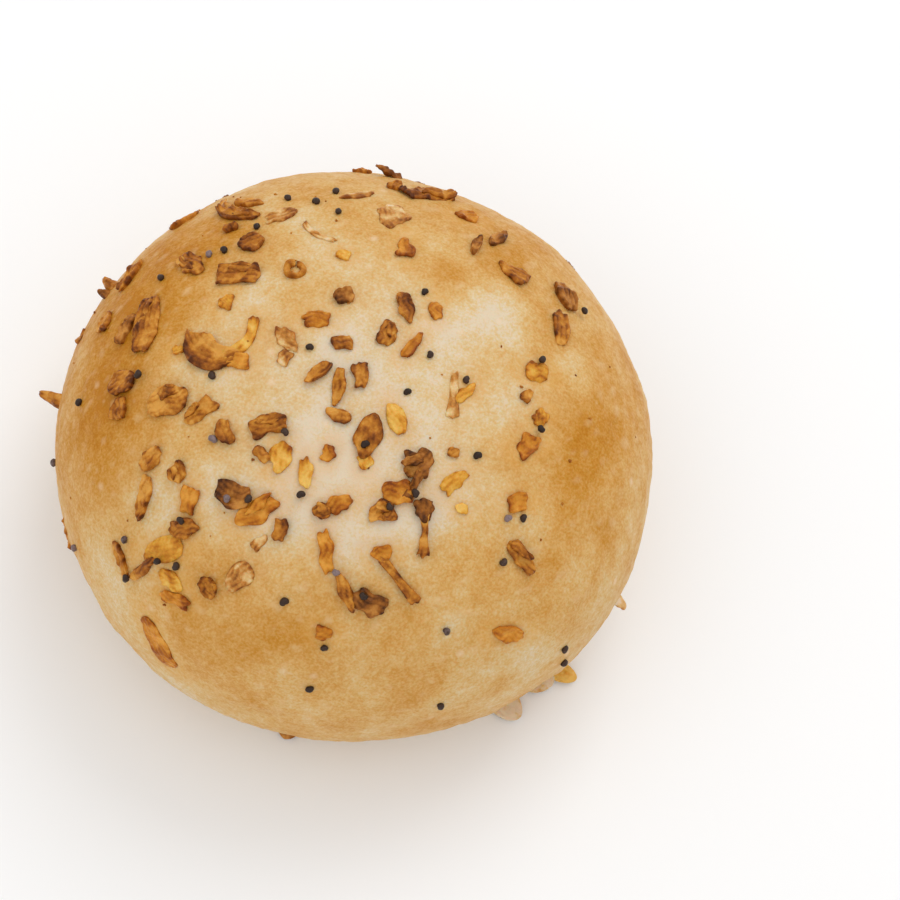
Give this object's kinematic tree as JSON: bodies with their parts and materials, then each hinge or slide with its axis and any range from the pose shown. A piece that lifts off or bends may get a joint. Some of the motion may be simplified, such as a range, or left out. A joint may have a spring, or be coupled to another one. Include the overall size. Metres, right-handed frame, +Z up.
{
  "type": "bread roll",
  "caption": "Round soft bread roll with a browned crust, toasted onion flakes and poppy seeds, resting on its flat base.",
  "frame": {"origin": "middle of the flat base that the roll rests on", "axes": "+Z up out of the crown of the roll, +X to its right and +Y to its back as the picture shows it"},
  "size_m": [0.0935, 0.0893, 0.0533],
  "materials": {
    "crust": "satin",
    "toasted_onion": "satin",
    "golden_onion": "satin",
    "poppy_seed": "satin"
  },
  "bodies": {
    "root": {"bread_roll": "crust"}
  },
  "joints": []
}
